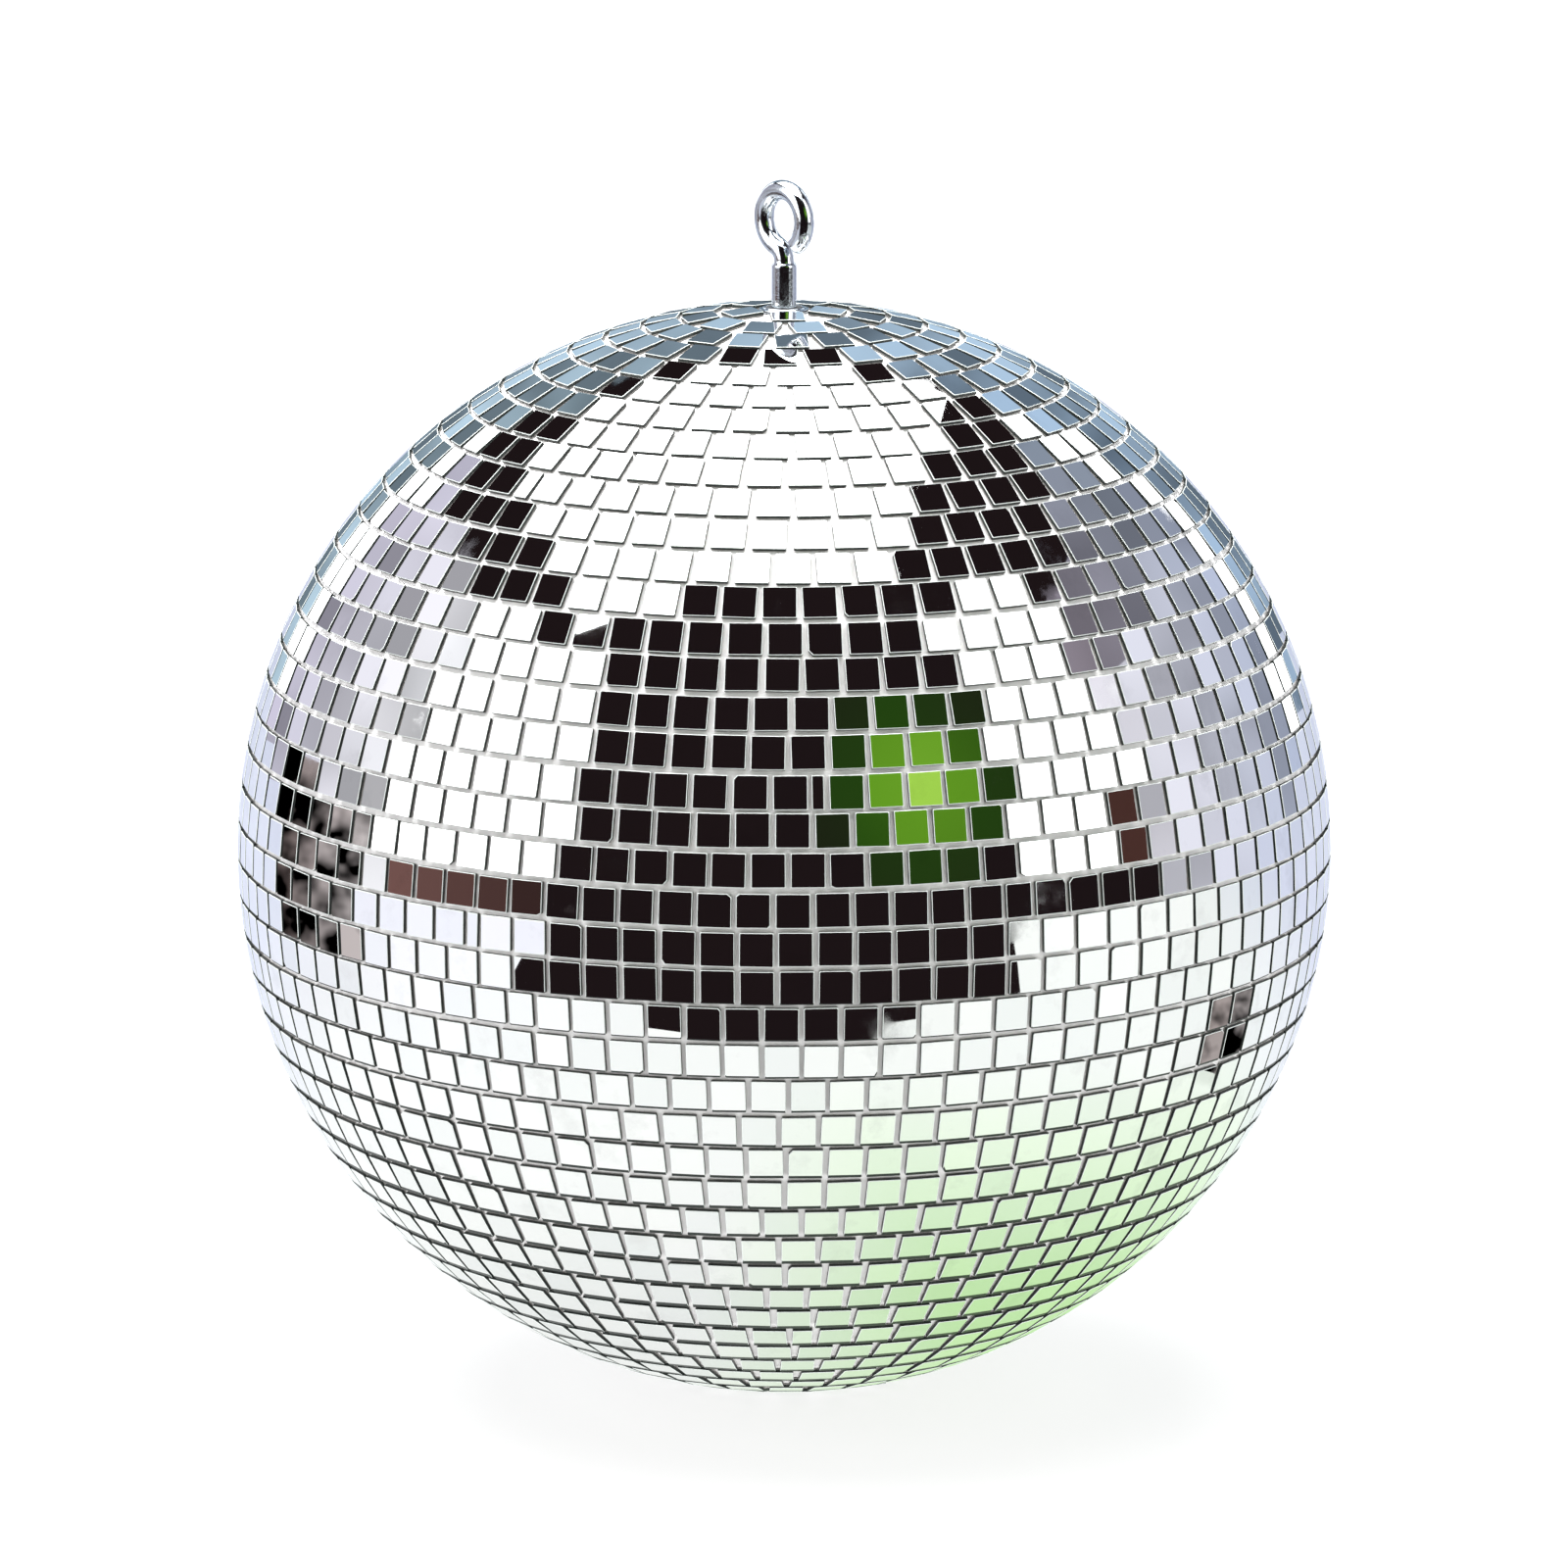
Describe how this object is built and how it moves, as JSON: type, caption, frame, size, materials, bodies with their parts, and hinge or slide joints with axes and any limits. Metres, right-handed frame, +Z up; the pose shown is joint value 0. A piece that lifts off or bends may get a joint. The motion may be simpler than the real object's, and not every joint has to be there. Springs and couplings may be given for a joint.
{
  "type": "mirror ball",
  "caption": "Hollow ball covered in rows of small square mirror tiles, hung by a bent eye bolt that it turns on.",
  "frame": {"origin": "centre of the hanging eye", "axes": "+Z up along the shank, away from the ball; +Y along the eye's hole; +X across the eye"},
  "size_m": [0.2999, 0.3, 0.3344],
  "materials": {
    "mirror_glass": "silvered float glass, polished, with cut dark edges",
    "backing": "light grey adhesive layer, matt",
    "core_plastic": "moulded, matt",
    "chromed_steel": "bright plated",
    "zinc_plated_steel": "zinc plated, satin",
    "rivet_aluminium": "satin",
    "bush_nylon": "self-lubricating nylon, smooth",
    "cap_plastic": "moulded, satin"
  },
  "bodies": {
    "hanger": {"eye_bolt": "chromed_steel", "thrust_washer": "zinc_plated_steel", "lock_nut": "zinc_plated_steel"},
    "ball": {"upper_core_shell": "core_plastic", "lower_core_shell": "core_plastic", "joint_band": "core_plastic", "upper_backing": "backing", "lower_backing": "backing", "top_plate": "zinc_plated_steel", "bottom_plate": "zinc_plated_steel", "top_rivets": "rivet_aluminium", "bottom_rivets": "rivet_aluminium", "spacer_tube": "zinc_plated_steel", "top_bush": "bush_nylon", "bottom_bush": "bush_nylon", "top_washer": "chromed_steel", "bottom_cap": "cap_plastic", "top_pole_tiles": "mirror_glass", "mirror_row_01": "mirror_glass", "mirror_row_02": "mirror_glass", "mirror_row_03": "mirror_glass", "mirror_row_04": "mirror_glass", "mirror_row_05": "mirror_glass", "mirror_row_06": "mirror_glass", "mirror_row_07": "mirror_glass", "mirror_row_08": "mirror_glass", "mirror_row_09": "mirror_glass", "mirror_row_10": "mirror_glass", "mirror_row_11": "mirror_glass", "mirror_row_12": "mirror_glass", "mirror_row_13": "mirror_glass", "mirror_row_14": "mirror_glass", "mirror_row_15": "mirror_glass", "mirror_row_16": "mirror_glass", "mirror_row_17": "mirror_glass", "mirror_row_18": "mirror_glass", "mirror_row_19": "mirror_glass", "mirror_row_20": "mirror_glass", "mirror_row_21": "mirror_glass", "mirror_row_22": "mirror_glass", "mirror_row_23": "mirror_glass", "mirror_row_24": "mirror_glass", "mirror_row_25": "mirror_glass", "mirror_row_26": "mirror_glass", "mirror_row_27": "mirror_glass", "mirror_row_28": "mirror_glass", "mirror_row_29": "mirror_glass", "mirror_row_30": "mirror_glass", "mirror_row_31": "mirror_glass", "mirror_row_32": "mirror_glass", "mirror_row_33": "mirror_glass", "mirror_row_34": "mirror_glass", "mirror_row_35": "mirror_glass", "mirror_row_36": "mirror_glass", "mirror_row_37": "mirror_glass", "mirror_row_38": "mirror_glass", "mirror_row_39": "mirror_glass", "bottom_pole_tiles": "mirror_glass"}
  },
  "joints": [
    {"name": "ball_spin", "type": "hinge", "parent": "hanger", "child": "ball", "pos_m": [0, 0, -0.1737], "axis": [0, 0, 1], "continuous": true}
  ]
}
